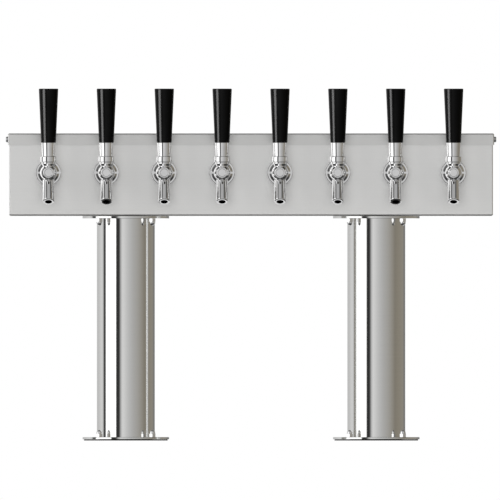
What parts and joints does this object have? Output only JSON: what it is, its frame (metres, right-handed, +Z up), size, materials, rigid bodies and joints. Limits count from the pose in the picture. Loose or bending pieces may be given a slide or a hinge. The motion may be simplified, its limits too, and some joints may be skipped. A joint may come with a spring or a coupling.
{
  "type": "beer tap tower",
  "caption": "Pass-through beer tap tower: a brushed steel housing with a row of chrome faucets and tapered black handles on two polished round columns.",
  "frame": {"origin": "on the counter plane, midway between the two columns' axes", "axes": "+X along the housing to the right as seen from the faucet side, -Y towards the drinker's side that the faucets face, +Z up"},
  "size_m": [0.6458, 0.1728, 0.4634],
  "materials": {
    "satin_housing": "brushed",
    "polished_steel": "polished",
    "chrome": "polished",
    "plain_steel": "machined",
    "zinc_steel": "bright",
    "black_handle": "gloss",
    "black_rubber": "matte",
    "brass": "machined",
    "aluminium": "cast",
    "foam": "foam"
  },
  "bodies": {
    "tower": {"housing_shell": "satin_housing", "top_cover": "satin_housing", "cover_screws": "zinc_steel", "cover_insulation": "foam", "column_left": "polished_steel", "column_right": "polished_steel", "top_flange_left": "polished_steel", "top_flange_right": "polished_steel", "base_flange_left": "polished_steel", "base_flange_right": "polished_steel", "base_gasket_left": "black_rubber", "base_gasket_right": "black_rubber", "base_cap_nuts": "chrome", "top_cap_nuts": "chrome", "column_bolts": "zinc_steel", "faucet_bodies": "chrome", "faucet_bonnets": "chrome", "lever_washers": "black_rubber", "face_plugs": "chrome", "coupling_nuts": "chrome", "coupling_gaskets": "black_rubber", "shanks": "plain_steel", "shank_flanges": "chrome", "shank_nuts": "brass", "tail_nuts": "brass", "cooling_block": "aluminium", "beer_lines": "plain_steel", "coolant_line": "plain_steel"},
    "lever_assembly_1": {"tap_handle_1": "black_handle", "handle_ferrule_1": "chrome", "lever_1": "plain_steel"},
    "valve_1": {"valve_shaft_1": "plain_steel"},
    "lever_assembly_2": {"tap_handle_2": "black_handle", "handle_ferrule_2": "chrome", "lever_2": "plain_steel"},
    "valve_2": {"valve_shaft_2": "plain_steel"},
    "lever_assembly_3": {"tap_handle_3": "black_handle", "handle_ferrule_3": "chrome", "lever_3": "plain_steel"},
    "valve_3": {"valve_shaft_3": "plain_steel"},
    "lever_assembly_4": {"tap_handle_4": "black_handle", "handle_ferrule_4": "chrome", "lever_4": "plain_steel"},
    "valve_4": {"valve_shaft_4": "plain_steel"},
    "lever_assembly_5": {"tap_handle_5": "black_handle", "handle_ferrule_5": "chrome", "lever_5": "plain_steel"},
    "valve_5": {"valve_shaft_5": "plain_steel"},
    "lever_assembly_6": {"tap_handle_6": "black_handle", "handle_ferrule_6": "chrome", "lever_6": "plain_steel"},
    "valve_6": {"valve_shaft_6": "plain_steel"},
    "lever_assembly_7": {"tap_handle_7": "black_handle", "handle_ferrule_7": "chrome", "lever_7": "plain_steel"},
    "valve_7": {"valve_shaft_7": "plain_steel"},
    "lever_assembly_8": {"tap_handle_8": "black_handle", "handle_ferrule_8": "chrome", "lever_8": "plain_steel"},
    "valve_8": {"valve_shaft_8": "plain_steel"}
  },
  "joints": [
    {"name": "tap_lever_1", "type": "hinge", "parent": "tower", "child": "lever_assembly_1", "pos_m": [-0.2667, -0.092, 0.3645], "axis": [1, 0, 0], "range_deg": [0, 32]},
    {"name": "valve_travel_1", "type": "slide", "parent": "tower", "child": "valve_1", "axis": [0, 1, 0], "range_m": [0, 0.0049]},
    {"name": "tap_lever_2", "type": "hinge", "parent": "tower", "child": "lever_assembly_2", "pos_m": [-0.1905, -0.092, 0.3645], "axis": [1, 0, 0], "range_deg": [0, 32]},
    {"name": "valve_travel_2", "type": "slide", "parent": "tower", "child": "valve_2", "axis": [0, 1, 0], "range_m": [0, 0.0049]},
    {"name": "tap_lever_3", "type": "hinge", "parent": "tower", "child": "lever_assembly_3", "pos_m": [-0.1143, -0.092, 0.3645], "axis": [1, 0, 0], "range_deg": [0, 32]},
    {"name": "valve_travel_3", "type": "slide", "parent": "tower", "child": "valve_3", "axis": [0, 1, 0], "range_m": [0, 0.0049]},
    {"name": "tap_lever_4", "type": "hinge", "parent": "tower", "child": "lever_assembly_4", "pos_m": [-0.0381, -0.092, 0.3645], "axis": [1, 0, 0], "range_deg": [0, 32]},
    {"name": "valve_travel_4", "type": "slide", "parent": "tower", "child": "valve_4", "axis": [0, 1, 0], "range_m": [0, 0.0049]},
    {"name": "tap_lever_5", "type": "hinge", "parent": "tower", "child": "lever_assembly_5", "pos_m": [0.0381, -0.092, 0.3645], "axis": [1, 0, 0], "range_deg": [0, 32]},
    {"name": "valve_travel_5", "type": "slide", "parent": "tower", "child": "valve_5", "axis": [0, 1, 0], "range_m": [0, 0.0049]},
    {"name": "tap_lever_6", "type": "hinge", "parent": "tower", "child": "lever_assembly_6", "pos_m": [0.1143, -0.092, 0.3645], "axis": [1, 0, 0], "range_deg": [0, 32]},
    {"name": "valve_travel_6", "type": "slide", "parent": "tower", "child": "valve_6", "axis": [0, 1, 0], "range_m": [0, 0.0049]},
    {"name": "tap_lever_7", "type": "hinge", "parent": "tower", "child": "lever_assembly_7", "pos_m": [0.1905, -0.092, 0.3645], "axis": [1, 0, 0], "range_deg": [0, 32]},
    {"name": "valve_travel_7", "type": "slide", "parent": "tower", "child": "valve_7", "axis": [0, 1, 0], "range_m": [0, 0.0049]},
    {"name": "tap_lever_8", "type": "hinge", "parent": "tower", "child": "lever_assembly_8", "pos_m": [0.2667, -0.092, 0.3645], "axis": [1, 0, 0], "range_deg": [0, 32]},
    {"name": "valve_travel_8", "type": "slide", "parent": "tower", "child": "valve_8", "axis": [0, 1, 0], "range_m": [0, 0.0049]}
  ],
  "couplings": [
    {"joint": "valve_travel_1", "follows": "tap_lever_1", "m_per_rad": 0.0086},
    {"joint": "valve_travel_2", "follows": "tap_lever_2", "m_per_rad": 0.0086},
    {"joint": "valve_travel_3", "follows": "tap_lever_3", "m_per_rad": 0.0086},
    {"joint": "valve_travel_4", "follows": "tap_lever_4", "m_per_rad": 0.0086},
    {"joint": "valve_travel_5", "follows": "tap_lever_5", "m_per_rad": 0.0086},
    {"joint": "valve_travel_6", "follows": "tap_lever_6", "m_per_rad": 0.0086},
    {"joint": "valve_travel_7", "follows": "tap_lever_7", "m_per_rad": 0.0086},
    {"joint": "valve_travel_8", "follows": "tap_lever_8", "m_per_rad": 0.0086}
  ]
}
